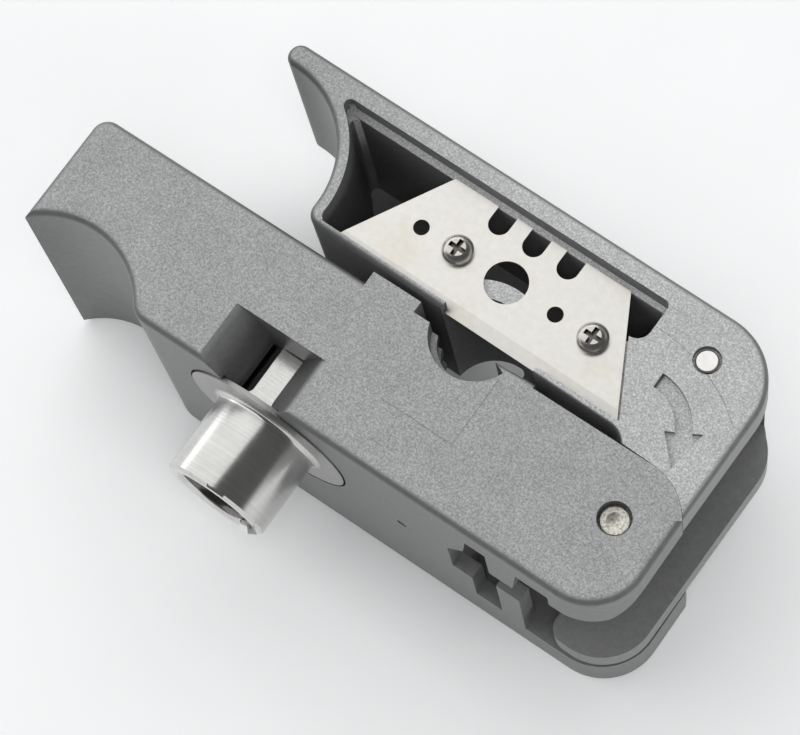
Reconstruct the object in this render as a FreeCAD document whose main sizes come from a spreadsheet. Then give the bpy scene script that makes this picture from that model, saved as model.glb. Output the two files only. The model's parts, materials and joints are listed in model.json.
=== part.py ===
"""Feeder cable stripper: a moulded handle, a hinged blade arm and a steel coring bush.

Plan coordinates are measured from the hinge pin: +X runs past the pin to the hinge end, +Y goes to
the blade arm, +Z is up. Every body is then placed so that the box of the whole tool stands centred
on the origin. Millimetres and degrees.
"""
import FreeCAD, Part
import math
import os

import Sketcher

SIZES = {
    # place of the hinge pin, and the tilt of the arm in its closed position
    "hinge_x": 52.586, "hinge_y": -4.128, "arm_tilt": 0.9,
    # handle: outline
    "handle_height": 53.0, "handle_left": 115.7, "handle_back": 11.0, "handle_front": 15.9,
    "handle_end": 9.4, "handle_corner": 3.0, "hinge_corner": 10.2, "handle_edge": 1.5,
    "handle_foot": 0.8, "handle_draft": 0.75,
    "grip_x": 103.8, "grip_y": 24.35, "grip_radius": 17.2, "grip_blend": 4.5, "land_width": 2.4,
    # handle: cable half bore with its ribs, and the pads that stop the arm
    "cable_x": 37.2, "cable_y": 13.4, "cable_radius": 8.2, "cable_rib": 1.1, "cable_rib_width": 2.2,
    "cable_rib_pitch": 7.2, "cable_rib_count": 6, "cable_lead": 5.0,
    "stop_left": 58.3, "stop_right": 48.4, "stop_y": 13.2, "stop_depth": 36.0,
    "ledge_left": 32.3, "ledge_root": 28.6, "ledge_right": 24.3, "ledge_y": 12.2, "ledge_drop": 1.6,
    "ledge_depth": 30.0, "ledge_edge": 0.8,
    # handle: window over the bush shank
    "bush_x": 62.9, "bush_drop": 19.3, "window_left": 74.6, "window_wall": 68.9, "window_wall_drop": 9.4,
    "window_bulge": 10.6, "window_right": 56.4, "window_foot": 62.0, "window_foot_drop": 9.9,
    "window_lip": 2.5, "window_floor": 13.5, "window_back": 4.3, "shank_gap": 0.6, "socket_end": 6.5,
    # handle: hinge fork
    "fork_left": 24.4, "knuckle_thick": 11.2, "knuckle_rim": 7.3, "rim_left": 6.6, "rim_front": 7.0,
    "rim_slope": 12.5, "lip_thick": 7.0, "fork_floor": 43.5, "front_wall": 2.5,
    "lip_left": 19.6, "lip_right": 2.8, "lip_back": 5.0, "tab_left": 15.5, "tab_right": 9.3,
    "tab_drop": 17.5, "post_left": 14.6, "post_right": 9.8, "post_drop": 24.0, "sill_x": 20.2,
    "sill_drop": 30.5, "sill_low": 41.0, "ear_drop": 14.0, "ear_low": 19.5, "vent_x": 34.7,
    "vent_drop": 24.5, "vent_radius": 1.0, "vent_depth": 1.2,
    # hinge pin and its spacer
    "hinge_radius": 3.0, "hinge_sink": 1.5, "hinge_fit": 0.05, "hinge_dimple": 0.6,
    "spacer_radius": 6.5, "spacer_play": 0.1,
    # coring bush
    "bush_radius": 10.1, "bush_end": 32.0, "flange_radius": 16.3, "flange_front": 16.3, "flange_thick": 0.9,
    "flange_gap": 0.4, "flange_seat": 0.8, "bush_root": 0.9, "bush_chamfer": 0.5, "mouth_radius": 7.2,
    "mouth_chamfer": 0.9, "mouth_depth": 3.0, "thread_radius": 3.4, "thread_depth": 13.0,
    "shank_radius": 8.8, "shank_play": 0.05, "shank_flare": 2.4, "cutter_turn": 42.0,
    "cutter_width": 3.2, "cutter_high": 2.4, "cutter_deep": 3.6, "cutter_proud": 0.9, "cutter_reach": 8.4,
    # blade arm: outline
    "arm_height": 37.2, "arm_back": 39.7, "arm_front": 13.6, "arm_front_near": 12.95, "arm_end": 9.2,
    "arm_corner": 12.5, "arm_edge": 1.4, "hook_x": 95.8, "hook_round": 2.2, "hook_nose": 2.0,
    "pull_x": 93.3, "pull_y": 16.7, "pull_radius": 18.6, "pull_blend": 2.7, "slot_end_x": 6.6,
    "slot_start_x": 10.4, "slot_round": 4.5, "seam_gap": 0.06, "near_edge": 0.5,
    # blade arm: pockets, floor, saddle and lugs
    "arm_floor": 35.5, "arm_seat": 3.6, "arm_well_back": 35.9, "arm_ledge": 34.4, "arm_wall": 1.2,
    "near_wall": 1.1, "well_radius": 21.0, "well_corner": 1.2, "well_foot": 1.5, "well_right": 13.6,
    "well_neck_x": 16.2, "well_neck_y": 27.2, "well_toe_x": 8.9, "saddle_y": 12.8, "saddle_radius": 11.5,
    "bore_right": 25.8, "bore_notch": 10.0, "screw_boss": 3.6, "arm_rib": 17.0, "plate_thick": 7.3,
    "gap_left": 5.5, "gap_back": 36.4, "lug_left": 4.7, "lug_end": 10.1, "lug_front": 16.3,
    "lug_low": 41.0, "lug_corner": 3.0, "lug_end_corner": 10.0, "tongue_radius": 6.2, "tongue_back": 20.0,
    "tongue_top": 11.6, "tongue_low": 16.0, "web_front": 12.4, "anchor_x": 3.0, "anchor_y": 31.0,
    "anchor_radius": 2.0, "anchor_well": 2.5, "anchor_well_deep": 1.5, "anchor_top": 0.4, "anchor_low": 39.5,
    # blade
    "blade_x": 39.5, "blade_edge": 13.9, "blade_high": 20.8, "blade_bottom": 60.0, "blade_top": 36.8,
    "blade_thick": 0.6, "blade_hole": 3.9, "blade_pilot": 1.45, "blade_bevel": 2.4, "hole_row": 10.2,
    "hole_inner": 10.2, "hole_outer": 18.0, "notch_pitch": 7.2, "notch_half": 2.0, "notch_deep": 4.6,
    "slit_play": 0.12,
    # blade screws and their threaded inserts
    "screw_head": 2.8, "screw_head_high": 1.9, "screw_shank": 1.4, "screw_long": 8.0, "cross_arm": 1.6,
    "cross_half": 0.45, "cross_deep": 1.1, "insert_radius": 2.3, "insert_long": 5.7, "insert_bore": 1.5,
    "pilot_deep": 11.0,
    # closing spring
    "wire_radius": 0.6, "coil_radius": 4.2, "coil_pitch": 1.5, "coil_whole": 3, "coil_low": 22.4,
    "coil_turn": 7.4, "arm_leg": 34.0, "handle_leg": 26.6, "leg_hole": 0.8, "leg_hole_deep": 3.4,
}


class Dim:
    """A size with its number and the sheet formula that gives the number."""

    def __init__(self, value, text):
        self.value = float(value)
        self.text = text

    def __neg__(self):
        return Dim(-self.value, f"(-{self.text})")

    def __add__(self, other):
        other = dim(other)
        return Dim(self.value + other.value, f"({self.text} + {other.text})")

    def __sub__(self, other):
        other = dim(other)
        return Dim(self.value - other.value, f"({self.text} - {other.text})")

    def __mul__(self, other):
        other = dim(other)
        return Dim(self.value * other.value, f"({self.text} * {other.text})")

    def __truediv__(self, other):
        other = dim(other)
        return Dim(self.value / other.value, f"({self.text} / {other.text})")


def dim(size):
    """Turn a plain number, or the name of a cell, into a Dim."""
    if isinstance(size, Dim):
        return size
    if isinstance(size, str):
        return Dim(SIZES[size], f"Sizes.{size}")
    return Dim(size, f"({size})")


def leg(long_side, short_side):
    """Third side of a right triangle."""
    long_side, short_side = dim(long_side), dim(short_side)
    number = math.sqrt(long_side.value ** 2 - short_side.value ** 2)
    return Dim(number, f"sqrt({long_side.text}^2 - {short_side.text}^2)")


def touch(centre, radius, other, other_radius):
    """Point where two circles that stand outside each other touch."""
    share = dim(radius) / (dim(radius) + other_radius)
    return [a + (b - a) * share for a, b in zip(centre, other)]


doc = FreeCAD.newDocument("feeder_cable_stripper")
sheet = doc.addObject("Spreadsheet::Sheet", "Sizes")
for row, (alias, number) in enumerate(SIZES.items(), start=1):
    sheet.set(f"A{row}", alias)
    sheet.set(f"B{row}", str(number))
    sheet.setAlias(f"B{row}", alias)
doc.recompute()

TOP = dim("handle_height")
SUB_PARTS = []


def below_top(drop):
    """Height of a level that lies the given drop under the top face."""
    return TOP - drop


def bind(thing, prop, size):
    thing.setExpression(prop, dim(size).text)


def new_body(label, x=0, y=0, z=0, tilt=None):
    """A sub-part whose own origin is at (x, y) from the hinge pin, turned about +Z by tilt."""
    body = doc.addObject("PartDesign::Body", label)
    body.Label = label
    bind(body, "Placement.Base.x", dim("hinge_x") + x)
    bind(body, "Placement.Base.y", dim("hinge_y") + y)
    bind(body, "Placement.Base.z", z)
    if tilt is not None:
        body.Placement.Rotation = FreeCAD.Rotation(FreeCAD.Vector(0, 0, 1), tilt.value)
        bind(body, "Placement.Rotation.Angle", tilt)
    SUB_PARTS.append(body)
    return body


def new_sketch(body, role="XY_Plane", offset=0, turn=None, shift=0):
    """A sketch on one of the body's own planes, moved along the plane's normal and its first axis."""
    sketch = body.newObject("Sketcher::SketchObject", f"{body.Label}_sketch")
    plane = [feature for feature in body.Origin.OriginFeatures if feature.Role == role][0]
    sketch.AttachmentSupport = [(plane, "")]
    sketch.MapMode = "FlatFace"
    if turn is not None:
        spin = FreeCAD.Rotation(FreeCAD.Vector(0, 1, 0), turn.value)
        sketch.AttachmentOffset = FreeCAD.Placement(FreeCAD.Vector(), spin)
        bind(sketch, "AttachmentOffset.Rotation.Angle", turn)
    bind(sketch, "AttachmentOffset.Base.x", shift)
    bind(sketch, "AttachmentOffset.Base.z", offset)
    return sketch


def pin_point(sketch, geometry, position, x, y):
    """Tie a point of the sketch to its sheet formulas."""
    for kind, size in (("DistanceX", dim(x)), ("DistanceY", dim(y))):
        index = sketch.addConstraint(Sketcher.Constraint(kind, -1, 1, geometry, position, size.value))
        sketch.setExpression(f"Constraints[{index}]", size.text)


def arc_centre(a, b, radius, turn):
    """Centre of the short arc from a to b; turn is 1 for anticlockwise and -1 for clockwise."""
    half = (b - a) * 0.5
    rise = math.sqrt(max(radius ** 2 - half.Length ** 2, 0.0))
    side = FreeCAD.Vector(-half.y, half.x, 0).normalize()
    return a + half + side * (rise * turn)


def outline(sketch, *steps):
    """Closed outline. A step is a corner (x, y), or (x, y, radius, turn) for an arc that ends there."""
    corners = [FreeCAD.Vector(dim(step[0]).value, dim(step[1]).value, 0) for step in steps]
    ends = []
    for i, step in enumerate(steps):
        start, end = corners[i - 1], corners[i]
        if len(step) == 2:
            index = sketch.addGeometry(Part.LineSegment(start, end))
            ends.append((index, 1, 2))
            continue
        radius, turn = dim(step[2]), step[3]
        centre = arc_centre(start, end, radius.value, turn)
        first, last = (start, end) if turn > 0 else (end, start)
        angles = [math.atan2(p.y - centre.y, p.x - centre.x) for p in (first, last)]
        circle = Part.Circle(centre, FreeCAD.Vector(0, 0, 1), radius.value)
        index = sketch.addGeometry(Part.ArcOfCircle(circle, *angles))
        ends.append((index, 1, 2) if turn > 0 else (index, 2, 1))
        rule = sketch.addConstraint(Sketcher.Constraint("Radius", index, radius.value))
        sketch.setExpression(f"Constraints[{rule}]", radius.text)
    for i, step in enumerate(steps):
        after = ends[(i + 1) % len(ends)]
        sketch.addConstraint(Sketcher.Constraint("Coincident", ends[i][0], ends[i][2], after[0], after[1]))
        pin_point(sketch, ends[i][0], ends[i][2], step[0], step[1])
    return sketch


def box(sketch, x0, y0, x1, y1):
    return outline(sketch, (x0, y0), (x1, y0), (x1, y1), (x0, y1))


def circle(sketch, x, y, radius):
    radius = dim(radius)
    centre = FreeCAD.Vector(dim(x).value, dim(y).value, 0)
    index = sketch.addGeometry(Part.Circle(centre, FreeCAD.Vector(0, 0, 1), radius.value))
    pin_point(sketch, index, 3, x, y)
    rule = sketch.addConstraint(Sketcher.Constraint("Radius", index, radius.value))
    sketch.setExpression(f"Constraints[{rule}]", radius.text)
    return sketch


def volume(body):
    return body.Shape.Volume if body.Shape and not body.Shape.isNull() else 0.0


def pad(sketch, length, reverse=False):
    """Add the sketch's outline as a prism along its normal."""
    body = sketch.getParentGeoFeatureGroup()
    feature = body.newObject("PartDesign::Pad", f"{body.Label}_pad")
    feature.Profile = sketch
    feature.Reversed = reverse
    bind(feature, "Length", length)
    before = volume(body)
    doc.recompute()
    if volume(body) <= before:
        raise RuntimeError(f"a pad on {body.Label} adds nothing")
    return feature


def pocket(sketch, depth, reverse=False):
    """Cut the sketch's outline away, against its normal unless reversed."""
    body = sketch.getParentGeoFeatureGroup()
    feature = body.newObject("PartDesign::Pocket", f"{body.Label}_pocket")
    feature.Profile = sketch
    feature.Reversed = reverse
    bind(feature, "Length", depth)
    before = volume(body)
    doc.recompute()
    if volume(body) >= before:
        raise RuntimeError(f"a pocket on {body.Label} cuts nothing")
    return feature


def revolve(sketch):
    """Turn the sketch's outline about its upright axis."""
    body = sketch.getParentGeoFeatureGroup()
    feature = body.newObject("PartDesign::Revolution", f"{body.Label}_turned")
    feature.Profile = sketch
    feature.ReferenceAxis = (sketch, ["V_Axis"])
    feature.Angle = 360
    doc.recompute()
    return feature


def groove(sketch):
    """Turn the sketch's outline away about its upright axis."""
    body = sketch.getParentGeoFeatureGroup()
    feature = body.newObject("PartDesign::Groove", f"{body.Label}_groove")
    feature.Profile = sketch
    feature.ReferenceAxis = (sketch, ["V_Axis"])
    feature.Angle = 360
    before = volume(body)
    doc.recompute()
    if volume(body) >= before:
        raise RuntimeError(f"a groove on {body.Label} cuts nothing")
    return feature


def soften(feature, radius, wanted):
    """Round the edges of a feature that the test picks."""
    body = feature.getParentGeoFeatureGroup()
    names = [f"Edge{i}" for i, edge in enumerate(feature.Shape.Edges, start=1) if wanted(edge.BoundBox)]
    fillet = body.newObject("PartDesign::Fillet", f"{body.Label}_rounding")
    fillet.Base = (feature, names)
    bind(fillet, "Radius", radius)
    doc.recompute()
    return fillet


def repeat_down(feature, sketch, pitch, count):
    """Repeat a feature downwards at an even pitch."""
    body = feature.getParentGeoFeatureGroup()
    pattern = body.newObject("PartDesign::LinearPattern", f"{body.Label}_row")
    pattern.Originals = [feature]
    pattern.Direction = (sketch, ["N_Axis"])
    pattern.Reversed = True
    bind(pattern, "Length", dim(pitch) * (SIZES[count] - 1))
    bind(pattern, "Occurrences", count)
    body.Tip = pattern
    doc.recompute()
    return pattern


def handle_outline(body):
    """Plan of the handle: finger grip at the left, round knuckle at the hinge end."""
    left, back, front, end = -dim("handle_left"), dim("handle_back"), -dim("handle_front"), dim("handle_end")
    corner, hinge_corner, blend = dim("handle_corner"), dim("hinge_corner"), dim("grip_blend")
    grip, radius, blend_y = (-dim("grip_x"), -dim("grip_y")), dim("grip_radius"), front + blend
    blend_x = grip[0] + leg(radius + blend, blend_y - grip[1])
    return outline(
        new_sketch(body),
        (left + corner, back),
        (left, back - corner, corner, 1),
        (left, grip[1] + leg(radius, left - grip[0])),
        (*touch(grip, radius, (blend_x, blend_y), blend), radius, -1),
        (blend_x, front, blend, 1),
        (end - hinge_corner, front),
        (end, front + hinge_corner, hinge_corner, 1),
        (end, leg(back, end)),
        (0, back, back, 1),
    )


def draft_front(blank):
    """Lean the grip, the front and the hinge end outwards below the top face, as the mould needs."""
    body = blank.getParentGeoFeatureGroup()
    back, left = SIZES["handle_back"] - SIZES["handle_corner"], -SIZES["handle_left"]
    names, top = [], None
    for i, face in enumerate(blank.Shape.Faces, start=1):
        extent = face.BoundBox
        if extent.ZLength < 0.01:
            top = f"Face{i}" if extent.ZMin > 1 else top
        elif extent.YMax < back and extent.XMax > left + 0.01:
            names.append(f"Face{i}")
    draft = body.newObject("PartDesign::Draft", f"{body.Label}_draft")
    draft.Base = (blank, names)
    draft.NeutralPlane = (blank, [top])
    bind(draft, "Angle", "handle_draft")
    doc.recompute()
    return draft


def square_land(body):
    """Strip along the arm's side where the top edge stays sharp, because the arm closes against it."""
    back, end, left, deep = dim("handle_back"), dim("handle_end"), -dim("stop_left"), dim("handle_edge") + 1
    inner = back - "land_width"
    side = leg(back, end)
    land = outline(
        new_sketch(body, offset=TOP - deep),
        (left, back),
        (left, inner),
        (0, inner),
        (inner * end / back, inner * side / back, inner, -1),
        (end, side),
        (0, back, back, 1),
    )
    pad(land, deep)


def cut_cable_bore(body):
    """Half bore for the cable, with ribs that follow the cable's corrugation."""
    x, y, tall = -dim("cable_x"), dim("cable_y"), TOP + 2
    pocket(circle(new_sketch(body, offset=TOP + 1), x, y, dim("cable_radius") - "cable_rib"), tall)
    pocket(circle(new_sketch(body, offset=TOP + 1), x, y, "cable_radius"), dim("cable_lead") + 1)
    level = below_top("cable_lead") - "cable_rib_width"
    ring_sketch = circle(new_sketch(body, offset=level), x, y, "cable_radius")
    ring = pocket(ring_sketch, dim("cable_rib_pitch") - "cable_rib_width")
    repeat_down(ring, ring_sketch, "cable_rib_pitch", "cable_rib_count")


def add_cable_ledge(body):
    """Rounded ledge at the right of the bore; its tip reaches into the bore and holds the cable."""
    back, top, deep = dim("handle_back"), below_top("ledge_drop"), dim("ledge_depth")
    ledge = outline(
        new_sketch(body, offset=top - deep),
        (-dim("ledge_left"), dim("ledge_y") - 0.4),
        (-dim("ledge_root"), back - 0.8),
        (-dim("ledge_right"), back - 0.8),
        (-dim("ledge_right"), "ledge_y"),
    )
    rib = pad(ledge, deep)
    edge_y = SIZES["ledge_y"] - 0.5
    soften(rib, "ledge_edge", lambda b: abs(b.ZMin - top.value) < 0.01 and b.ZLength < 0.01 and b.YMin > edge_y)


def cut_bush_window(body):
    """Stepped bore for the bush, and the sloping window that opens the bore to the top face."""
    front, back, seat = -dim("handle_front"), -dim("window_back"), -dim("handle_front") + "flange_seat"
    rim, flare, end = dim("flange_radius") + "flange_gap", dim("shank_flare"), dim("socket_end") + "shank_play"
    bore, socket = dim("shank_radius") + "shank_gap", dim("shank_radius") + "shank_play"
    groove(outline(
        new_sketch(body, offset=below_top("bush_drop"), shift=-dim("bush_x")),
        (0, end),
        (0, front - 1),
        (rim, front - 1),
        (rim, seat),
        (bore + flare, seat),
        (bore, seat + flare, flare, -1),
        (bore, back),
        (socket, back),
        (socket, end),
    ))
    left, right, lip, wall = -dim("window_left"), -dim("window_right"), dim("window_lip"), -dim("window_wall")
    floor, foot = below_top("window_floor"), -dim("window_foot")
    window = outline(
        new_sketch(body, "XZ_Plane", -front + 1),
        (left, TOP + 1),
        (left, TOP),
        (wall, below_top("window_wall_drop"), "window_bulge", -1),
        (wall, floor),
        (foot, floor),
        (foot, below_top("window_foot_drop")),
        (right - lip * 0.28, TOP - lip * 0.5),
        (right + lip * 0.58, TOP, lip, -1),
        (right + lip * 0.58, TOP + 1),
    )
    pocket(window, back - front + 1)


def cut_hinge_fork(body):
    """Fork that takes the arm's lugs and the spring, with the openings in its front wall."""
    left, end, front = -dim("fork_left"), dim("handle_end") + 1, dim("handle_front")
    wall = front - "front_wall"
    roof, floor, lip = below_top("knuckle_thick"), below_top("fork_floor"), below_top("lip_thick")
    lip_left, lip_right = -dim("lip_left"), -dim("lip_right")
    tab_left, tab_right, tab = -dim("tab_left"), -dim("tab_right"), below_top("tab_drop")
    post_left, post_right, post = -dim("post_left"), -dim("post_right"), below_top("post_drop")
    sill_x, sill, low = -dim("sill_x"), below_top("sill_drop"), below_top("sill_low")
    cavity = box(new_sketch(body, "XZ_Plane", wall), left, floor, end, roof)
    pocket(cavity, wall + "handle_back" + 1)
    thin = box(new_sketch(body, "XZ_Plane", wall), lip_left, roof - 1, lip_right, lip)
    pocket(thin, wall - "lip_back")
    opening = outline(
        new_sketch(body, "XZ_Plane", front + 1),
        (lip_left, lip),
        (tab_left, lip),
        (tab_left, tab),
        (tab_right - 1.4, tab),
        (tab_right, lip),
        (lip_right, lip),
        (lip_right, roof),
        (end, roof),
        (end, floor),
        (post_right, floor),
        (post_right, post),
        (post_left, post),
        (post_left, low),
        (sill_x, low),
        (sill_x, sill),
        (left, sill),
        (left, below_top("ear_low")),
        (lip_left - 1.0, below_top("ear_drop")),
    )
    pocket(opening, dim("front_wall") + 1)
    rim, far = below_top("knuckle_rim"), dim("handle_back") + 1
    slope = outline(
        new_sketch(body, "YZ_Plane", "rim_left"),
        (far, roof - 1),
        (far, rim),
        (-dim("rim_front"), rim),
        (-dim("rim_slope"), roof),
        (-dim("rim_slope"), roof - 1),
    )
    pocket(slope, end - "rim_left", reverse=True)
    vent = new_sketch(body, "XZ_Plane", front + 1)
    pocket(circle(vent, -dim("vent_x"), below_top("vent_drop"), "vent_radius"), dim("vent_depth") + 1)
    leg_z = below_top("coil_low") + dim("coil_pitch") * coil_turns()
    spring_hole = circle(new_sketch(body, "YZ_Plane", left), -dim("coil_radius"), leg_z, "leg_hole")
    pocket(spring_hole, "leg_hole_deep")


def coil_turns():
    """Turns of the spring: whole ones, and the part that brings its upper leg round to -X."""
    return dim("coil_whole") + (dim("coil_turn") + 90) / 360


def make_main_body():
    body = new_body("main_body")
    blank = draft_front(pad(handle_outline(body), TOP))
    height = SIZES["handle_height"]
    blank = soften(blank, "handle_edge", lambda b: b.ZMin > height - 0.01)
    soften(blank, "handle_foot", lambda b: b.ZMax < 0.01)
    square_land(body)
    stop = box(new_sketch(body, offset=below_top("stop_depth")), -dim("stop_left"), dim("handle_back") - 3,
               -dim("stop_right"), "stop_y")
    pad(stop, "stop_depth")
    cut_cable_bore(body)
    add_cable_ledge(body)
    cut_bush_window(body)
    cut_hinge_fork(body)
    pocket(circle(new_sketch(body, offset=TOP + 1), 0, 0, "hinge_radius"), TOP + 2)
    return body


def make_hinge_pin():
    """Riveted pin: pressed into both knuckles, its ends sunk and dimpled."""
    body = new_body("hinge_pin", z="hinge_sink")
    radius, long, chamfer = dim("hinge_radius"), TOP - dim("hinge_sink") * 2, dim("hinge_dimple")
    revolve(outline(
        new_sketch(body, "XZ_Plane"),
        (0, chamfer),
        (radius * 0.5, 0),
        (radius - chamfer, 0),
        (radius, chamfer),
        (radius, long - chamfer),
        (radius - chamfer, long),
        (radius * 0.5, long),
        (0, long - chamfer),
    ))


def make_hinge_spacer():
    """Ring that carries the arm's lower lug off the fork's floor."""
    floor = below_top("fork_floor")
    body = new_body("hinge_spacer", z=floor)
    thick = dim("fork_floor") - "lug_low" - "spacer_play"
    bore = dim("hinge_radius") + "hinge_fit"
    revolve(box(new_sketch(body, "XZ_Plane"), bore, 0, "spacer_radius", thick))


def make_coring_bush():
    """Turned steel bush: flange, hollow nose with a threaded centre, and a round shank."""
    body = new_body("coring_bush", x=-dim("bush_x"), z=below_top("bush_drop"))
    end, front, root = -dim("bush_end"), -dim("flange_front"), dim("bush_root")
    back = front + "flange_thick"
    radius, mouth, bevel = dim("bush_radius"), dim("mouth_radius"), dim("bush_chamfer")
    lip, thread = dim("mouth_chamfer"), dim("thread_radius")
    shank, flare = dim("shank_radius"), dim("shank_flare")
    revolve(outline(
        new_sketch(body),
        (0, "socket_end"),
        (0, end + "thread_depth"),
        (thread, end + "thread_depth"),
        (thread, end + "mouth_depth"),
        (mouth, end + "mouth_depth"),
        (mouth, end + lip),
        (mouth + lip, end),
        (radius - bevel, end),
        (radius, end + bevel),
        (radius, front - root),
        (radius + root, front, root, -1),
        ("flange_radius", front),
        ("flange_radius", back),
        (shank + flare, back),
        (shank, back + flare, flare, -1),
        (shank, "socket_end"),
    ))
    cut = new_sketch(body, "XZ_Plane", -end + 1)
    turn, reach, wide, high = math.radians(SIZES["cutter_turn"]), dim("cutter_reach"), 0.5, 0.5
    along = (math.cos(turn), -math.sin(turn))
    corners = []
    for sign_a, sign_b in ((-1, -1), (1, -1), (1, 1), (-1, 1)):
        a = reach + dim("cutter_high") * (sign_a * high)
        b = dim("cutter_width") * (sign_b * wide)
        corners.append((a * along[0] - b * along[1], a * along[1] + b * along[0]))
    pocket(outline(cut, *corners), dim("cutter_deep") + 1)


def make_rim_cutter():
    """Small steel cutter set in the rim of the bush, with a slanted cutting edge."""
    turn = math.radians(SIZES["cutter_turn"])
    reach = dim("cutter_reach")
    body = new_body("rim_cutter", x=-dim("bush_x") + reach * math.cos(turn), y=-dim("bush_end"),
                    z=below_top("bush_drop") - reach * math.sin(turn))
    body.Placement.Rotation = FreeCAD.Rotation(FreeCAD.Vector(0, 1, 0), SIZES["cutter_turn"])
    bind(body, "Placement.Rotation.Angle", "cutter_turn")
    half, deep, proud = dim("cutter_high") * 0.5, dim("cutter_deep"), dim("cutter_proud")
    profile = outline(
        new_sketch(body, offset=dim("cutter_width") * -0.5),
        (-half, deep),
        (-half, 0),
        (-half * 0.2, -proud),
        (half, 0),
        (half, deep),
    )
    pad(profile, "cutter_width")


def arm_tilt():
    return -dim("arm_tilt")


def arm_outline(body):
    """Plan of the arm: pull hook and curved end at the left, round corner over the anchor pin."""
    back, end, corner, hook = dim("arm_back"), dim("arm_end"), dim("arm_corner"), -dim("hook_x")
    hook_round, front, near = dim("hook_round"), dim("arm_front"), dim("arm_front_near")
    seam, step_x = dim("handle_back") + "seam_gap", -dim("cable_x")
    pull, radius, blend = (-dim("pull_x"), dim("pull_y")), dim("pull_radius"), dim("pull_blend")
    nose = dim("hook_nose")
    nose_x, blend_y = hook + nose, front + blend
    nose_y = pull[1] + leg(radius + nose, nose_x - pull[0])
    blend_x = pull[0] + leg(radius + blend, blend_y - pull[1])
    return outline(
        new_sketch(body, offset=below_top("arm_height")),
        (hook + hook_round, back),
        (hook, back - hook_round, hook_round, 1),
        (hook, nose_y),
        (*touch(pull, radius, (nose_x, nose_y), nose), nose, 1),
        (*touch(pull, radius, (blend_x, blend_y), blend), radius, -1),
        (blend_x, front, blend, 1),
        (step_x, front),
        (step_x, near),
        (-dim("slot_start_x"), near),
        (-dim("slot_end_x"), seam + 0.15, "slot_round", -1),
        (0, seam),
        (end, leg(seam, end), seam, -1),
        (end, back - corner),
        (end - corner, back, corner, 1),
    )


def pull_wall(back, front):
    """Outline steps along the inside of the curved wall, from the well's back to its front."""
    pull, radius = (-dim("pull_x"), dim("pull_y")), dim("well_radius")
    corner, foot = dim("well_corner"), dim("well_foot")
    top_y, foot_y = back - corner, front + foot
    top_x = pull[0] + leg(radius + corner, top_y - pull[1])
    foot_x = pull[0] + leg(radius + foot, foot_y - pull[1])
    return [
        (top_x, back),
        (*touch(pull, radius, (top_x, top_y), corner), corner, 1),
        (*touch(pull, radius, (foot_x, foot_y), foot), radius, -1),
        (foot_x, front, foot, 1),
    ]


def cut_arm_wells(body):
    """Blade recess and the deep well below it, round the saddle that carries the cable."""
    back, ledge, wall = dim("arm_well_back"), dim("arm_ledge"), dim("arm_wall")
    far, near, right = dim("arm_front") + wall, dim("arm_front_near") + "near_wall", -dim("well_right")
    neck_x, neck_y, toe = -dim("well_neck_x"), dim("well_neck_y"), -dim("well_toe_x")
    corner = dim("well_corner")
    x, saddle, rib = -dim("cable_x"), dim("saddle_radius"), -dim("arm_rib")
    recess = outline(
        new_sketch(body, offset=TOP + 1),
        *pull_wall(back, far),
        (x, far),
        (x, near),
        (toe, near),
        (neck_x, neck_y),
        (right, neck_y + 2.6, 2.6, 1),
        (right, back - corner),
        (right - corner, back, corner, 1),
    )
    pocket(recess, dim("arm_seat") + 1)
    side = leg(saddle, far - "saddle_y")
    well = outline(
        new_sketch(body, offset=below_top("arm_seat")),
        *pull_wall(ledge, far),
        (x - side, far),
        (x, dim("saddle_y") + saddle, saddle, -1),
        (x + side, far, saddle, -1),
        (rib, far),
        (rib, neck_y),
        (right, neck_y + 3.4, 3.4, 1),
        (right, ledge - corner),
        (right - corner, ledge, corner, 1),
    )
    pocket(well, dim("arm_floor") - "arm_seat")


def cut_arm_bore(body):
    """The arm's half of the cable bore, the notch beside it and the slit for the blade's tip."""
    x, low = -dim("cable_x"), dim("arm_height") + 2
    pocket(circle(new_sketch(body, offset=TOP + 1), x, "saddle_y", "cable_radius"), low)
    near = dim("arm_front_near")
    notch = box(new_sketch(body, offset=TOP + 1), x, near - 1, -dim("bore_right"), near + "near_wall")
    pocket(notch, dim("bore_notch") + 1)
    edge, play = dim("blade_edge"), dim("slit_play")
    tip = -dim("blade_x") - dim("blade_bottom") * 0.5
    level = below_top("arm_seat") + "blade_thick"
    slit = box(new_sketch(body, offset=level + play), tip - play, edge - play,
               tip + "blade_bottom" + play, dim("arm_front") + "arm_wall" + 0.5)
    pocket(slit, dim("blade_thick") + play)


def cut_arm_gap(body):
    """Open the hinge end between the top plate and the floor, and leave the back wall standing."""
    left, end, back = -dim("gap_left"), dim("arm_end") + 1, dim("gap_back")
    gap = box(new_sketch(body, offset=below_top("plate_thick")), left, -1, end, back)
    pocket(gap, dim("arm_floor") - "plate_thick")


def add_arm_lugs(body):
    """Lower lug, upper tongue and the web that carries the tongue."""
    end, corner, small = dim("lug_end"), dim("lug_end_corner"), dim("lug_corner")
    left, front, back = -dim("lug_left"), -dim("lug_front"), dim("arm_back") - "arm_corner"
    lug = outline(
        new_sketch(body, offset=below_top("lug_low")),
        (left, back),
        (left, front + small),
        (left + small, front, small, 1),
        (end - corner, front),
        (end, front + corner, corner, 1),
        (end, back),
        (end - corner, back + corner, corner, 1),
        (left, back + corner),
    )
    pad(lug, dim("lug_low") - "arm_floor")
    round_end, rear = dim("tongue_radius"), dim("tongue_back")
    tongue = outline(
        new_sketch(body, offset=below_top("tongue_low")),
        (-round_end, rear),
        (-round_end, 0),
        (0, -round_end, round_end, 1),
        (round_end, 0, round_end, 1),
        (round_end, rear),
    )
    pad(tongue, dim("tongue_low") - "tongue_top")
    web = box(new_sketch(body, offset=below_top("tongue_low")), -round_end, "web_front", round_end, rear)
    pad(web, dim("tongue_low") - "plate_thick" + 1)


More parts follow.
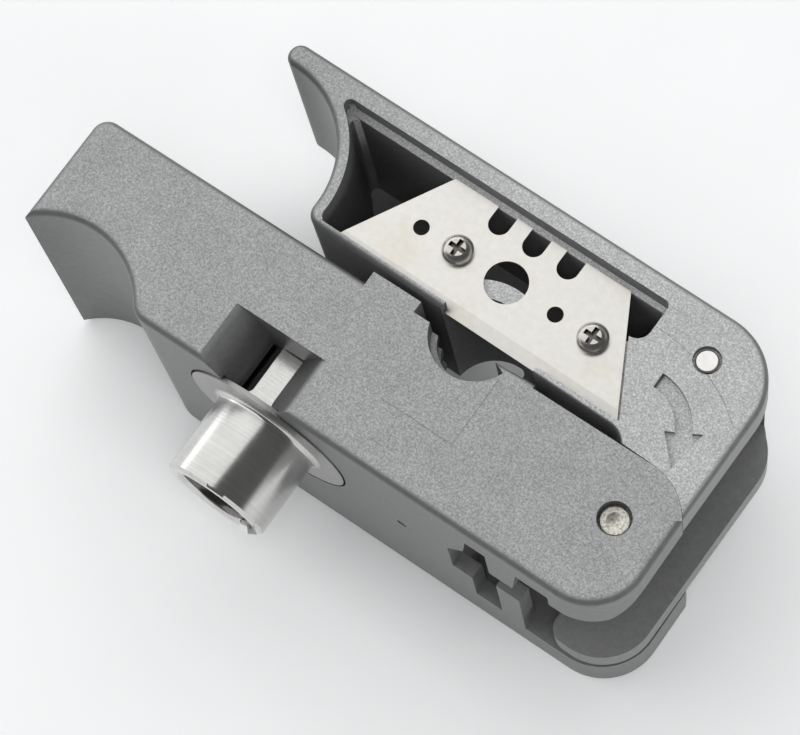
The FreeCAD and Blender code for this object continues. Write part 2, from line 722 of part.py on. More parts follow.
def screw_places():
    """The two blade screws, in the holes of the blade that they use."""
    row = dim("blade_edge") + "hole_row"
    return {"left": (-dim("blade_x") - "hole_inner", row), "right": (-dim("blade_x") + "hole_outer", row)}


def add_screw_bosses(body):
    floor, seat = below_top("arm_floor"), below_top("arm_seat")
    for x, y in screw_places().values():
        pad(circle(new_sketch(body, offset=floor), x, y, "screw_boss"), seat - floor)
        pocket(circle(new_sketch(body, offset=seat), x, y, "insert_radius"), "insert_long")
        pocket(circle(new_sketch(body, offset=seat), x, y, "insert_bore"), "pilot_deep")


def make_blade_arm():
    body = new_body("blade_arm", tilt=arm_tilt())
    blank = pad(arm_outline(body), "arm_height")
    height, end = SIZES["handle_height"], SIZES["arm_end"]
    blank = soften(blank, "arm_edge", lambda b: b.ZMin > height - 0.01 and b.XMin > end - 0.01)
    near = SIZES["arm_front_near"]
    soften(blank, "near_edge", lambda b: b.ZMin > height - 0.01 and abs(b.YMin - near) < 0.01 > b.YLength)
    cut_arm_wells(body)
    cut_arm_bore(body)
    cut_arm_gap(body)
    add_arm_lugs(body)
    add_screw_bosses(body)
    x, y = -dim("anchor_x"), dim("anchor_y")
    pocket(circle(new_sketch(body, offset=TOP + 1), x, y, "anchor_radius"), dim("anchor_low") + 1)
    pocket(circle(new_sketch(body, offset=TOP + 1), x, y, "anchor_well"), dim("anchor_well_deep") + 1)
    bore = dim("hinge_radius") + "hinge_fit"
    pocket(circle(new_sketch(body, offset=TOP + 1), 0, 0, bore), TOP + 2)


def make_anchor_pin():
    """Dowel that the spring's moving leg pulls on."""
    body = new_body("spring_anchor_pin", z=below_top("anchor_low"), tilt=arm_tilt())
    radius, long = dim("anchor_radius"), dim("anchor_low") - "anchor_top"
    x, y = -dim("anchor_x"), dim("anchor_y")
    rod = pad(circle(new_sketch(body), x, y, radius), long)
    soften(rod, 0.3, lambda b: b.ZLength < 0.01)


def make_cutting_blade():
    """Trapezoid blade with a ground edge, a centre hole, four pilot holes and three notches."""
    body = new_body("cutting_blade", tilt=arm_tilt())
    centre, edge, level = -dim("blade_x"), dim("blade_edge"), below_top("arm_seat")
    back, half, top = edge + "blade_high", dim("blade_bottom") * 0.5, dim("blade_top") * 0.5
    plate = outline(
        new_sketch(body, offset=level),
        (centre - half, edge),
        (centre + half, edge),
        (centre + top, back),
        (centre - top, back),
    )
    pad(plate, "blade_thick")
    row = edge + "hole_row"
    holes = new_sketch(body, offset=level + "blade_thick")
    circle(holes, centre, row, "blade_hole")
    for sign in (-1, 1):
        for place in ("hole_inner", "hole_outer"):
            circle(holes, centre + dim(place) * sign, row, "blade_pilot")
    pocket(holes, "blade_thick")
    notch, deep = dim("notch_half"), back - "notch_deep"
    for step in (-1, 0, 1):
        x = centre + dim("notch_pitch") * step
        slot = outline(
            new_sketch(body, offset=level + "blade_thick"),
            (x - notch, back + 1),
            (x - notch, deep + notch),
            (x, deep, notch, 1),
            (x + notch, deep + notch, notch, 1),
            (x + notch, back + 1),
        )
        pocket(slot, "blade_thick")
    thick, bevel = dim("blade_thick"), dim("blade_bevel")
    ground = outline(
        new_sketch(body, "YZ_Plane", centre + half + 1),
        (edge - 0.1, level + thick * 0.25),
        (edge + bevel, level + thick),
        (edge + bevel, level + thick + 0.2),
        (edge - 0.1, level + thick + 0.2),
    )
    pocket(ground, half * 2 + 2)


def make_blade_screws():
    """Pan-head screws with a cross recess, each in its own brass insert."""
    head, high, shank = dim("screw_head"), dim("screw_head_high"), dim("screw_shank")
    cross, half = dim("cross_arm"), dim("cross_half")
    seat = below_top("arm_seat")
    for side, (x, y) in screw_places().items():
        angle = math.radians(-SIZES["arm_tilt"])
        turned_x = x * math.cos(angle) - y * math.sin(angle)
        turned_y = x * math.sin(angle) + y * math.cos(angle)
        screw = new_body(f"blade_screw_{side}", x=turned_x, y=turned_y, z=seat + "blade_thick")
        revolve(outline(
            new_sketch(screw, "XZ_Plane"),
            (0, -dim("screw_long")),
            (shank - 0.4, -dim("screw_long")),
            (shank, -dim("screw_long") + 0.4),
            (shank, 0),
            (head, 0),
            (head, high * 0.45),
            (head * 0.55, high, head, 1),
            (0, high),
        ))
        pocket(outline(
            new_sketch(screw, offset=high + 0.1),
            (-cross, -half), (-half, -half), (-half, -cross), (half, -cross), (half, -half), (cross, -half),
            (cross, half), (half, half), (half, cross), (-half, cross), (-half, half), (-cross, half),
        ), dim("cross_deep") + 0.1)
        insert = new_body(f"thread_insert_{side}", x=turned_x, y=turned_y, z=seat - "insert_long")
        revolve(box(new_sketch(insert, "XZ_Plane"), "insert_bore", 0, "insert_radius", "insert_long"))


def make_closing_spring():
    """Torsion spring on the hinge pin: one leg in the handle, one behind the anchor pin."""
    turn = dim("coil_turn")
    body = new_body("closing_spring", z=below_top("coil_low"), tilt=turn)
    coil, wire = dim("coil_radius"), dim("wire_radius")
    section = circle(new_sketch(body, "XZ_Plane"), coil, 0, wire)
    helix = body.newObject("PartDesign::AdditiveHelix", "spring_coil")
    helix.Profile = section
    helix.ReferenceAxis = (section, ["V_Axis"])
    helix.Mode = "pitch-turns-angle"
    helix.LeftHanded = True
    bind(helix, "Pitch", "coil_pitch")
    bind(helix, "Turns", coil_turns())
    doc.recompute()
    pad(circle(new_sketch(body, "XZ_Plane"), coil, 0, wire), "arm_leg", reverse=True)
    rise = dim("coil_pitch") * coil_turns()
    last_turn = dim(-90) - turn
    pad(circle(new_sketch(body, "XZ_Plane", turn=last_turn), coil, rise, wire), "handle_leg")


make_main_body()
make_hinge_pin()
make_hinge_spacer()
make_coring_bush()
make_rim_cutter()
make_blade_arm()
make_anchor_pin()
make_cutting_blade()
make_blade_screws()
make_closing_spring()
doc.recompute()

for thing in doc.Objects:
    if "Invalid" in thing.State or "Error" in thing.State:
        raise RuntimeError(f"{thing.Label} failed: {thing.State}")
for body in SUB_PARTS:
    if body.Shape.isNull() or not body.Shape.isValid():
        raise RuntimeError(f"{body.Label} has no valid solid")

os.makedirs("parts", exist_ok=True)
for body in SUB_PARTS:
    body.Shape.exportStep(f"parts/{body.Label}.step")
    print(body.Label, round(body.Shape.Volume, 1), len(body.Shape.Solids))
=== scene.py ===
import json
import math

import bpy
from mathutils import Matrix, Vector


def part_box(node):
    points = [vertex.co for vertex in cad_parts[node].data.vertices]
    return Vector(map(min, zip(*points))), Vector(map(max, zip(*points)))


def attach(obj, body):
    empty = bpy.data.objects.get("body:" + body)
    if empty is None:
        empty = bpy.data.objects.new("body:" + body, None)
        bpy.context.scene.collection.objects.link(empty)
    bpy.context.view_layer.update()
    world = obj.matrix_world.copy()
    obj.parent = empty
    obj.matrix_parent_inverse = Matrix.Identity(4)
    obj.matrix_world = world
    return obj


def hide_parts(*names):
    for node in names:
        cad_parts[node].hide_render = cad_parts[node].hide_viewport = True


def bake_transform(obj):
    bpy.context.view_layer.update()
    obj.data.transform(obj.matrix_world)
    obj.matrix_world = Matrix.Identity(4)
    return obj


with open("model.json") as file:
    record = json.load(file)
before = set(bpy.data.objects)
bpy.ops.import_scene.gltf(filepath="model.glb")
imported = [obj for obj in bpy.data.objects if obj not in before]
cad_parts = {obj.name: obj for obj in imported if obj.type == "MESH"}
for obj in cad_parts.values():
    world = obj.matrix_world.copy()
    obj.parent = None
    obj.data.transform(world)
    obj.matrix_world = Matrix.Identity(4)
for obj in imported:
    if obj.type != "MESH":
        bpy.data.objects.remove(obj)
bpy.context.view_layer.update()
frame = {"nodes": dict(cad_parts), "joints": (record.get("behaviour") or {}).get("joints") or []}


# The handle is one moulding of grey glass-filled nylon. Its level faces carry a spark-eroded grain
# with pale fibre flecks, and its walls are smoother. Its walls, lower floors and rounded edges
# carry painted shade. A loose block in the mould, over the cable bore, left a hair line on the top.
nodes = frame["nodes"]
hinge = Vector(frame["joints"][0]["pos_m"])
top_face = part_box("main_body")[1].z
white = (1.0, 1.0, 1.0)


def new_material(name):
    material = bpy.data.materials.new(name)
    material.use_nodes = True
    tree = material.node_tree
    shader = tree.nodes["Principled BSDF"]
    place = tree.nodes.new("ShaderNodeTexCoord").outputs["Object"]
    return material, tree, shader, place


def coat(piece, material):
    piece.data.materials.clear()
    piece.data.materials.append(material)


def noise(tree, place, scale, detail=3.0, roughness=0.6):
    texture = tree.nodes.new("ShaderNodeTexNoise")
    texture.inputs["Scale"].default_value = scale
    texture.inputs["Detail"].default_value = detail
    texture.inputs["Roughness"].default_value = roughness
    tree.links.new(place, texture.inputs["Vector"])
    return texture.outputs["Fac"]


def scaled(colour, factor):
    return [factor * channel for channel in colour]


def ramp(tree, value, *stops):
    band = tree.nodes.new("ShaderNodeValToRGB")
    points = band.color_ramp.elements
    while len(points) < len(stops):
        points.new(0.5)
    for point, (position, colour) in zip(points, stops):
        point.position = position
        point.color = (*colour, 1.0)
    tree.links.new(value, band.inputs["Fac"])
    return band.outputs["Color"]


def mix_colour(tree, share, low, high, mode="MIX"):
    node = tree.nodes.new("ShaderNodeMix")
    node.data_type = "RGBA"
    node.blend_type = mode
    for name, value in (("Factor", share), ("A", low), ("B", high)):
        kind = "Float" if name == "Factor" else "Color"
        socket = [s for s in node.inputs if s.identifier == f"{name}_{kind}"][0]
        if isinstance(value, bpy.types.NodeSocket):
            tree.links.new(value, socket)
        else:
            socket.default_value = value if name == "Factor" else (*value, 1.0)
    return [s for s in node.outputs if s.identifier == "Result_Color"][0]


def calculate(tree, operation, *values):
    node = tree.nodes.new("ShaderNodeMath")
    node.operation = operation
    for socket, value in zip(node.inputs, values):
        if isinstance(value, bpy.types.NodeSocket):
            tree.links.new(value, socket)
        else:
            socket.default_value = value
    return node.outputs[0]


def overlap(tree, mask, *others):
    """The product of several masks: 1 only where all of them are 1."""
    for other in others:
        mask = calculate(tree, "MULTIPLY", mask, other)
    return mask


def split(tree, vector):
    node = tree.nodes.new("ShaderNodeSeparateXYZ")
    tree.links.new(vector, node.inputs[0])
    return node.outputs


def moved(tree, place, origin):
    """Coordinates measured from an origin."""
    node = tree.nodes.new("ShaderNodeMapping")
    node.vector_type = "TEXTURE"
    node.inputs["Location"].default_value = origin
    tree.links.new(place, node.inputs["Vector"])
    return node.outputs["Vector"]


def between(tree, value, low, high, soft):
    """1 from low to high, falling softly to 0 outside."""
    middle, half = (low + high) / 2, (high - low) / 2
    away = calculate(tree, "ABSOLUTE", calculate(tree, "SUBTRACT", value, middle))
    node = tree.nodes.new("ShaderNodeMapRange")
    node.inputs["From Min"].default_value = half + soft
    node.inputs["From Max"].default_value = half - soft
    tree.links.new(away, node.inputs["Value"])
    return node.outputs["Result"]


def bump(tree, shader, height, strength, distance):
    node = tree.nodes.new("ShaderNodeBump")
    node.inputs["Strength"].default_value = strength
    node.inputs["Distance"].default_value = distance
    tree.links.new(height, node.inputs["Height"])
    tree.links.new(node.outputs["Normal"], shader.inputs["Normal"])


def darken(tree, colour, mask, strength):
    shade = mix_colour(tree, mask, white, [1.0 - strength] * 3)
    return mix_colour(tree, 1.0, colour, shade, "MULTIPLY")


def grained_nylon(name, level_tone, shaded_wall_tone):
    """Nylon with its full grain only on level faces near the top, and painted shade on all other
    faces.
    """
    grain_depth, edge_shade = 0.02, 0.34
    material, tree, shader, place = new_material(name)
    grain = noise(tree, place, 2900, 2.0, 0.8)
    level = ramp(tree, grain, (0.32, scaled(level_tone, 0.69)), (0.5, level_tone),
                 (0.68, scaled(level_tone, 1.46)))
    cloud = ramp(tree, noise(tree, place, 130, 4.0), (0.3, (0.88, 0.88, 0.88)), (0.7, white))
    level = mix_colour(tree, 1.0, level, cloud, "MULTIPLY")
    # The walls, and level faces below the top, take this darker tone: painted shade.
    wall = ramp(tree, noise(tree, place, 900, 4.0), (0.3, scaled(shaded_wall_tone, 0.88)),
                (0.7, scaled(shaded_wall_tone, 1.1)))
    up = split(tree, tree.nodes.new("ShaderNodeNewGeometry").outputs["Normal"])["Z"]
    high = between(tree, split(tree, place)["Z"], top_face - grain_depth,
                   top_face + grain_depth, 0.002)
    flat = overlap(tree, between(tree, up, 0.9, 1.2, 0.09),
                   calculate(tree, "MULTIPLY_ADD", high, 0.9, 0.1))
    # Faces sloping between level and upright, the rounded edges, are darkened: painted shade.
    rounded = between(tree, up, 0.35, 0.78, 0.14)
    colour = darken(tree, mix_colour(tree, flat, wall, level), rounded, edge_shade)
    roughness = calculate(tree, "MULTIPLY_ADD", flat, 0.22, 0.4)
    tree.links.new(roughness, shader.inputs["Roughness"])
    bump(tree, shader, overlap(tree, grain, calculate(tree, "ADD", flat, 0.2)), 0.3, 0.0001)
    return material, tree, shader, place, colour


hair, hair_shade, hair_along, hair_across = 0.00012, 0.3, 0.0147, 0.0137
hair_corner = hinge + Vector((-0.0295, -0.0045, top_face))
nylon, tree, shader, place, colour = grained_nylon(
    "handle_nylon", (0.395, 0.399, 0.397), (0.18, 0.181, 0.18))
x, y, z = split(tree, moved(tree, place, hair_corner))
along = overlap(tree, between(tree, y, -hair, hair, hair / 2),
                between(tree, x, -hair_along, hair, hair))
across = overlap(tree, between(tree, x, -hair, hair, hair / 2),
                 between(tree, y, 0.0, hair_across, hair))
corner_line = overlap(tree, calculate(tree, "MAXIMUM", along, across),
                      between(tree, z, -0.0001, 0.1, 0.00005))
tree.links.new(darken(tree, colour, corner_line, hair_shade), shader.inputs["Base Color"])
coat(nodes["main_body"], nylon)


# The hinge pin is drawn steel rod, pressed into the handle's knuckles. Its upper end is hammered
# over, so the sunk disc is rough and has a warm, brassy bloom; its near-white flecks are painted
# highlights.
def rough_steel(name, colour, roughness, grain, dark=0.82):
    material, tree, shader, place = new_material(name)
    tone = ramp(tree, noise(tree, place, grain, 4.0), (0.3, scaled(colour, dark)), (0.7, colour))
    tree.links.new(tone, shader.inputs["Base Color"])
    shader.inputs["Metallic"].default_value = 1.0
    shader.inputs["Roughness"].default_value = roughness
    bump(tree, shader, noise(tree, place, grain * 2), 1.0, 0.000006)
    return material, tree, shader, place


def repaint(tree, shader, share, colour, mode="MIX"):
    """Mix a colour over the one that the shader already shows."""
    socket = shader.inputs["Base Color"]
    bare = socket.links[0].from_socket
    tree.links.new(mix_colour(tree, share, bare, colour, mode), socket)


end_depth, shaft_roughness = 0.004, 0.4
pin_metal, tree, shader, place = rough_steel(
    "hammered_pin", (0.72, 0.71, 0.69), shaft_roughness, 900)
end = between(tree, split(tree, place)["Z"], top_face - end_depth, top_face + end_depth, 0.001)
dents = noise(tree, place, 2000)
# The end's flecks run from a warm bloom to near white; the near white is a painted highlight.
bloom_and_highlight = ramp(tree, dents, (0.35, (0.6, 0.55, 0.46)), (0.55, (1.0, 0.98, 0.92)))
repaint(tree, shader, end, bloom_and_highlight)
end_roughness = calculate(tree, "MULTIPLY_ADD", end, 0.1, shaft_roughness)
tree.links.new(end_roughness, shader.inputs["Roughness"])
bump(tree, shader, overlap(tree, dents, end), 1.0, 0.00015)
coat(nodes["hinge_pin"], pin_metal)


# The spacer is a turned ring of dark acetal. It sits on the hinge pin, over the fork's floor, and
# carries the arm's lower lug.
acetal, tree, shader, place = new_material("dark_acetal")
tone = ramp(tree, noise(tree, place, 600), (0.3, (0.02, 0.02, 0.021)), (0.7, (0.032, 0.032, 0.033)))
tree.links.new(tone, shader.inputs["Base Color"])
shader.inputs["Roughness"].default_value = 0.42
coat(nodes["hinge_spacer"], acetal)


# The coring bush is turned from bar steel and plated, so rings of tool marks run round it, and its
# flange is duller: rougher, and painted darker as shade. The hole in its nose is threaded, and its
# shank has a narrow flat on top, which shows in the handle's window. The mouth and the thread's
# grooves carry painted shade.
def choose(piece):
    bpy.ops.object.select_all(action="DESELECT")
    piece.select_set(True)
    bpy.context.view_layer.objects.active = piece


def edit_all():
    bpy.ops.object.mode_set(mode="EDIT")
    bpy.ops.mesh.select_all(action="SELECT")


def merged_copy(node, name):
    piece = nodes[node].copy()
    piece.data = nodes[node].data.copy()
    piece.name = name
    piece.parent = None
    bpy.context.collection.objects.link(piece)
    choose(piece)
    edit_all()
    bpy.ops.mesh.remove_doubles(threshold=0.000002)
    bpy.ops.object.mode_set(mode="OBJECT")
    return piece


def raise_cutter(height):
    """Make the active flat shape a solid of the given height."""
    edit_all()
    bpy.ops.mesh.extrude_region_move(TRANSFORM_OT_translate={"value": (0.0, 0.0, height)})
    bpy.ops.mesh.select_all(action="SELECT")
    bpy.ops.mesh.normals_make_consistent(inside=False)
    bpy.ops.object.mode_set(mode="OBJECT")
    return bpy.context.object


def carve(piece, cutter):
    cut = piece.modifiers.new("carving", "BOOLEAN")
    cut.object = cutter
    cut.operation = "DIFFERENCE"
    cut.solver = "EXACT"
    bpy.context.view_layer.objects.active = piece
    bpy.ops.object.modifier_apply(modifier=cut.name)
    bpy.data.objects.remove(cutter)


def smooth_faces(piece, degrees):
    choose(piece)
    bpy.ops.object.shade_smooth_by_angle(angle=math.radians(degrees))
    even = piece.modifiers.new("even_faces", "WEIGHTED_NORMAL")
    even.mode = "FACE_AREA"
    even.weight = 100
    even.keep_sharp = True
    bpy.ops.object.modifier_apply(modifier=even.name)


bush = merged_copy("coring_bush", "turned_bush")
bush_low, bush_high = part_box("coring_bush")
bush_centre = (bush_low + bush_high) / 2
shank_length, flat_height, cut_size, cut_height = 0.0219, 0.0079, 0.024, 0.004
cut_middle = bush_high.y - shank_length + cut_size / 2
bpy.ops.object.select_all(action="DESELECT")
bpy.ops.mesh.primitive_plane_add(
    size=cut_size, location=(bush_centre.x, cut_middle, bush_centre.z + flat_height))
bpy.ops.object.transform_apply(location=True)
carve(bush, raise_cutter(cut_height))
smooth_faces(bush, 20)


def distance(tree, first, second):
    """How far a point is from the axis that two coordinates are measured from."""
    squares = [calculate(tree, "MULTIPLY", value, value) for value in (first, second)]
    return calculate(tree, "SQRT", calculate(tree, "ADD", *squares))


thread_pitch, thread_radius, mouth_radius = 0.00125, 0.0036, 0.00735
flange_inside, flange_outside, sharp = 0.0112, 0.05, 0.00005
bush_metal, tree, shader, place = new_material("turned_steel")
x, y, z = split(tree, moved(tree, place, bush_centre))
reach = distance(tree, x, z)
rings = tree.nodes.new("ShaderNodeCombineXYZ")
tree.links.new(reach, rings.inputs["X"])
tree.links.new(y, rings.inputs["Y"])
marks = noise(tree, rings.outputs[0], 2600, 3.0, 0.7)
stains = noise(tree, place, 160, 4.0)
steel = mix_colour(
    tree, 1.0, ramp(tree, marks, (0.25, (0.59, 0.59, 0.575)), (0.75, (0.72, 0.72, 0.7))),
    ramp(tree, stains, (0.35, (0.9, 0.9, 0.9)), (0.65, white)), "MULTIPLY")
# Inside the mouth the steel is painted dark: painted shade.
mouth_shade = between(tree, reach, -mouth_radius, mouth_radius, sharp)
steel = mix_colour(tree, mouth_shade, steel, (0.16, 0.155, 0.15))
wave = calculate(tree, "SINE", calculate(tree, "MULTIPLY", y, 2 * math.pi / thread_pitch))
in_hole = between(tree, reach, -thread_radius, thread_radius, sharp)
groove = overlap(tree, calculate(tree, "ADD", wave, 1.0), in_hole, 0.5)
# The thread's grooves are darkened: painted shade.
groove_shade = ramp(tree, groove, (0.0, white), (1.0, (0.35, 0.34, 0.33)))
steel = mix_colour(tree, 1.0, steel, groove_shade, "MULTIPLY")
# The flange is rougher, and its steel is painted darker: painted shade.
flange = between(tree, reach, flange_inside, flange_outside, 0.0003)
tree.links.new(darken(tree, steel, flange, 0.4), shader.inputs["Base Color"])
shader.inputs["Metallic"].default_value = 1.0
tree.links.new(calculate(tree, "MULTIPLY_ADD", flange, 0.2, 0.19), shader.inputs["Roughness"])
relief = calculate(tree, "MULTIPLY_ADD", marks, 0.05, overlap(tree, wave, in_hole))
bump(tree, shader, relief, 0.35, 0.0004)
coat(bush, bush_metal)
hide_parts("coring_bush")
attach(bush, "handle")


# The rim cutter is a small ground bit of tool steel. It is pressed into a slot in the rim of the
# bush and stands a little proud of it.
coat(nodes["rim_cutter"], rough_steel("ground_bit", (0.9, 0.9, 0.885), 0.45, 1400)[0])


# The blade arm is a second moulding of the same nylon. Its plate is paler, a painted sheen, and
# the painted sheen fades darker towards the pull hook. A curved arrow is sunk into the plate and
# shows which way the tool is turned.
def pick(piece, wanted):
    """Open the piece for editing, with only the vertices selected that the test wants."""
    bpy.ops.object.mode_set(mode="EDIT")
    bpy.ops.mesh.select_mode(type="VERT")
    bpy.ops.mesh.select_all(action="DESELECT")
    bpy.ops.object.mode_set(mode="OBJECT")
    for vertex in piece.data.vertices:
        vertex.select = wanted(vertex.co)
    bpy.ops.object.mode_set(mode="EDIT")


arm_piece = merged_copy("blade_arm", "arm_moulding")
edit_all()
bpy.ops.mesh.dissolve_limited(angle_limit=math.radians(0.3))
bpy.ops.object.mode_set(mode="OBJECT")
arrow_depth, arrow_inner, arrow_outer, arrow_sweep = 0.001, 0.00815, 0.01105, math.radians(67)
arrow_cut, arrow_head = 0.002, ((0.0115, 0.0058), (0.0058, 0.0028), (0.0103, -0.0019))
arrow = hinge + Vector((-0.0074, 0.0141, top_face - arrow_depth))
width, middle = arrow_outer - arrow_inner, (arrow_inner + arrow_outer) / 2
bpy.ops.object.select_all(action="DESELECT")
bpy.ops.mesh.primitive_plane_add(size=width, location=arrow + Vector((-width / 2, middle, 0)))
bpy.ops.object.transform_apply(location=True)
pick(bpy.context.object, lambda place: place.x < arrow.x - width / 2)
bpy.ops.mesh.delete(type="VERT")
bpy.ops.mesh.select_all(action="SELECT")
bpy.ops.mesh.spin(steps=18, angle=arrow_sweep, center=arrow, axis=(0, 0, 1))
carve(arm_piece, raise_cutter(arrow_cut))
bpy.ops.mesh.primitive_circle_add(vertices=3, radius=0.004, fill_type="NGON", location=arrow)
bpy.ops.object.transform_apply(location=True)
for vertex, (x, y) in zip(bpy.context.object.data.vertices, arrow_head):
    vertex.co = arrow + Vector((x, y, 0))
carve(arm_piece, raise_cutter(arrow_cut))
smooth_faces(arm_piece, 28)

line_radius, line_end = 0.0313, 0.0205
line_centre = hinge + Vector((-0.013, 0.0, top_face))
# The plate's pale level tone is a painted sheen.
arm_nylon, tree, shader, place, colour = grained_nylon(
    "arm_nylon", (0.54, 0.542, 0.538), (0.21, 0.211, 0.21))
x, y, z = split(tree, moved(tree, place, line_centre))
round_line = between(tree, distance(tree, x, y), line_radius - hair, line_radius + hair, hair / 2)
plate_line = overlap(tree, round_line, between(tree, x, 0.0, line_end, hair),
                     between(tree, z, -0.0001, 0.1, 0.00005))
colour = darken(tree, colour, plate_line, hair_shade)
# Darker towards the pull hook: the painted sheen fading along the arm.
along = calculate(tree, "MULTIPLY_ADD", split(tree, place)["X"], 8.0, 0.5)
sheen_fade = ramp(tree, along, (0.2, (0.72, 0.72, 0.72)), (0.55, white))
tree.links.new(mix_colour(tree, 1.0, colour, sheen_fade, "MULTIPLY"), shader.inputs["Base Color"])
coat(arm_piece, arm_nylon)
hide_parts("blade_arm")
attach(arm_piece, "arm")


# The anchor pin is a plain ground steel dowel. It is pressed into the arm, a little below the
# plate, and holds the spring's leg.
dowel_metal = rough_steel("ground_dowel", (0.84, 0.83, 0.8), 0.26, 700, dark=0.9)[0]
coat(nodes["spring_anchor_pin"], dowel_metal)


# The cutting blade is stamped from rolled strip steel, with a warm bloom. Its long edge is ground
# on the upper side, and two screws hold it in the arm.
blade_metal, tree, shader, place = rough_steel(
    "rolled_strip", (0.8, 0.782, 0.74), 0.36, 700, dark=0.92)
bloom = ramp(tree, noise(tree, place, 70, 5.0, 0.65), (0.52, white), (0.75, (0.93, 0.91, 0.85)))
repaint(tree, shader, 1.0, bloom, "MULTIPLY")
coat(nodes["cutting_blade"], blade_metal)


# The blade screws are nickel-plated pan heads, driven through the blade into the arm. The cross
# recess of each head is painted darker than the head, as shade.
recess_radius, recess_low, recess_high = 0.002, -0.0014, -0.00035
for side in ("left", "right"):
    screw_metal, tree, shader, place = rough_steel(
        f"nickel_screw_{side}", (0.64, 0.62, 0.575), 0.26, 1100)
    screw_low, screw_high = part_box(f"blade_screw_{side}")
    middle = (screw_low + screw_high) / 2
    x, y, z = split(tree, moved(tree, place, (middle.x, middle.y, screw_high.z)))
    near = between(tree, distance(tree, x, y), -recess_radius, recess_radius, 0.0002)
    # The cross recess is painted dark: painted shade.
    recess_shade = overlap(tree, near, between(tree, z, recess_low, recess_high, 0.0002))
    repaint(tree, shader, recess_shade, (0.13, 0.125, 0.115))
    coat(nodes[f"blade_screw_{side}"], screw_metal)


# The screws go into turned brass inserts, which are pressed into the arm's bosses under the blade.
# They are out of sight in the finished tool.
for side in ("left", "right"):
    brass = rough_steel(f"brass_insert_{side}", (0.7, 0.53, 0.25), 0.34, 900)[0]
    coat(nodes[f"thread_insert_{side}"], brass)


# The closing spring is wound from drawn spring wire. It sits on the hinge pin, with one leg in the
# handle and one behind the anchor pin.
wire, coil, pitch, start_degrees = 0.0006, 0.0042, 0.0015, 7.4
spring_drop, arm_leg, handle_leg = 0.0224, 0.034, 0.0266
start_turn = math.radians(start_degrees)
turns = 3 + (start_degrees + 90) / 360
low = hinge + Vector((0, 0, top_face - spring_drop))
bpy.ops.object.select_all(action="DESELECT")
bpy.ops.mesh.primitive_circle_add(
    vertices=14, radius=wire, rotation=(math.pi / 2, 0, 0), location=(coil, 0, 0))
spring = bpy.context.object
spring.name = "spring_wire_coil"
bpy.ops.object.transform_apply(location=True, rotation=True)
winding = spring.modifiers.new("winding", "SCREW")
winding.angle = -2 * math.pi * turns
winding.screw_offset = pitch * turns
winding.steps = winding.render_steps = 132
bpy.ops.object.modifier_apply(modifier=winding.name)
edit_all()
bpy.ops.transform.rotate(value=-start_turn, orient_axis="Z", center_override=(0, 0, 0))
bpy.ops.transform.translate(value=low)
bpy.ops.object.mode_set(mode="OBJECT")


def pull_leg(root, direction):
    """Extrude one end of the coil into a straight leg and cap it."""
    pick(spring, lambda place: (place - root).length < wire * 1.02)
    bpy.ops.mesh.extrude_region_move(TRANSFORM_OT_translate={"value": direction})
    bpy.ops.mesh.edge_face_add()
    bpy.ops.object.mode_set(mode="OBJECT")


first = hinge + Vector((coil * math.cos(start_turn), coil * math.sin(start_turn), low.z))
last = hinge + Vector((0, -coil, low.z + pitch * turns))
pull_leg(first, Vector((-math.sin(start_turn), math.cos(start_turn), 0)) * arm_leg)
pull_leg(last, Vector((-handle_leg, 0, 0)))
edit_all()
bpy.ops.mesh.normals_make_consistent(inside=False)
bpy.ops.object.mode_set(mode="OBJECT")
bpy.ops.object.shade_smooth_by_angle(angle=math.radians(40))
coat(spring, rough_steel("drawn_wire", (0.3, 0.3, 0.3), 0.4, 1200)[0])
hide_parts("closing_spring")
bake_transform(spring)


# The stage is a sheet of pale paper under a large overhead lamp, with a small fill lamp near the
# camera and another at the hinge end. Only the overhead lamp shows in the metal. The backdrop is
# pale near the horizon and dark above, which gives the steel its dark band.
bpy.ops.object.select_all(action="DESELECT")
bpy.ops.mesh.primitive_plane_add(size=6.0, location=(0.0, 0.0, -0.0002))
floor = bpy.context.object
floor.name = "pale_floor"


def seen_rays(tree):
    """1 for rays that show the backdrop: the camera's, and those off metal or through glass."""
    path = tree.nodes.new("ShaderNodeLightPath").outputs
    shown = calculate(tree, "MAXIMUM", path["Is Camera Ray"], path["Is Glossy Ray"])
    return calculate(tree, "MAXIMUM", shown, path["Is Transmission Ray"])


tool_half_x, tool_half_y, paper_glow = 0.045, 0.026, 0.2
paper, tree, shader, place = new_material("pale_paper")
paper_tone = ramp(tree, noise(tree, place, 30), (0.3, (0.85, 0.86, 0.86)), (0.7, (0.87, 0.88, 0.88)))
tree.links.new(paper_tone, shader.inputs["Base Color"])
x, y, z = split(tree, place)
# The paper's glow is left out under the tool, so the floor there is darker: a painted shadow.
shadow_under_tool = overlap(tree, between(tree, x, -tool_half_x, tool_half_x, 0.015),
                between(tree, y, -tool_half_y, tool_half_y, 0.01))
shader.inputs["Roughness"].default_value = 0.9
shader.inputs["Specular IOR Level"].default_value = 0.2
shader.inputs["Emission Color"].default_value = (*white, 1.0)
glow = overlap(tree, calculate(tree, "SUBTRACT", 1.0, shadow_under_tool), paper_glow, seen_rays(tree))
tree.links.new(glow, shader.inputs["Emission Strength"])
coat(floor, paper)

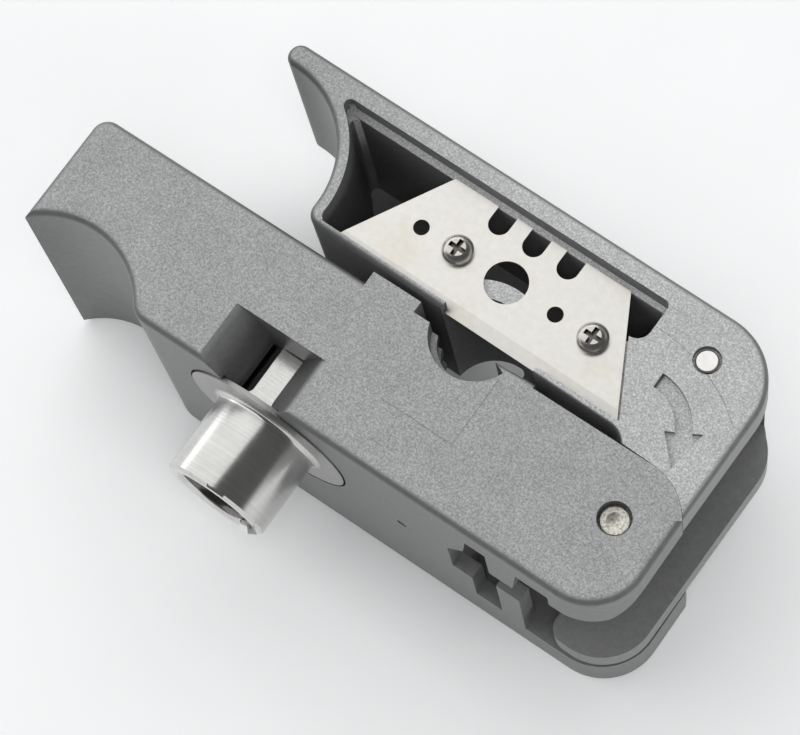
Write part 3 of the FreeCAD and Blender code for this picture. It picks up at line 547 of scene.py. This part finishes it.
world = bpy.data.worlds.new("studio")
bpy.context.scene.world = world
world.use_nodes = True
tree = world.node_tree
sky = tree.nodes["Background"]
sky.inputs["Color"].default_value = (0.95, 0.97, 1.0, 1.0)
sky.inputs["Strength"].default_value = 0.26
backdrop = tree.nodes.new("ShaderNodeBackground")
height = split(tree, tree.nodes.new("ShaderNodeTexCoord").outputs["Generated"])["Z"]
cove = ramp(tree, height, (0.15, (0.93, 0.935, 0.94)), (0.33, (0.11, 0.11, 0.11)))
tree.links.new(cove, backdrop.inputs["Color"])
backdrop.inputs["Strength"].default_value = 1.0
choice = tree.nodes.new("ShaderNodeMixShader")
tree.links.new(seen_rays(tree), choice.inputs["Fac"])
tree.links.new(sky.outputs[0], choice.inputs[1])
tree.links.new(backdrop.outputs[0], choice.inputs[2])
tree.links.new(choice.outputs[0], tree.nodes["World Output"].inputs["Surface"])


def soft_lamp(name, place, size, power, mirrored=False):
    """A square lamp that points at the middle of the tool."""
    lamp = bpy.data.lights.new(name, "AREA")
    lamp.size = size
    lamp.energy = power
    holder = bpy.data.objects.new(name, lamp)
    bpy.context.collection.objects.link(holder)
    holder.visible_glossy = mirrored
    aim = (Vector((0, 0, 0.03)) - Vector(place)).to_track_quat("-Z", "Y")
    holder.matrix_world = Matrix.Translation(place) @ aim.to_matrix().to_4x4()


soft_lamp("overhead_lamp", (-0.9, 0.4, 0.85), 3.0, 30.0, mirrored=True)
soft_lamp("fill_lamp", (0.28, -0.21, 1.0), 0.3, 1.8)
soft_lamp("side_lamp", (1.0, 0.0, 0.2), 0.4, 2.0)

camera = bpy.data.cameras.new("photo_camera")
camera.sensor_width = 36.0
camera.lens = 128.7
holder = bpy.data.objects.new("photo_camera", camera)
bpy.context.collection.objects.link(holder)
camera_right, camera_up = (0.80831, 0.57873, -0.10821), (-0.52335, 0.79047, 0.31822)
camera_back = (0.2697, -0.20059, 0.94182)
aim = Matrix((camera_right, camera_up, camera_back)).transposed().to_4x4()
camera_place = hinge + Vector((0.08486, -0.094585, top_face + 0.452))
holder.matrix_world = Matrix.Translation(camera_place) @ aim
bpy.context.scene.camera = holder
bpy.context.scene.view_settings.view_transform = "Standard"
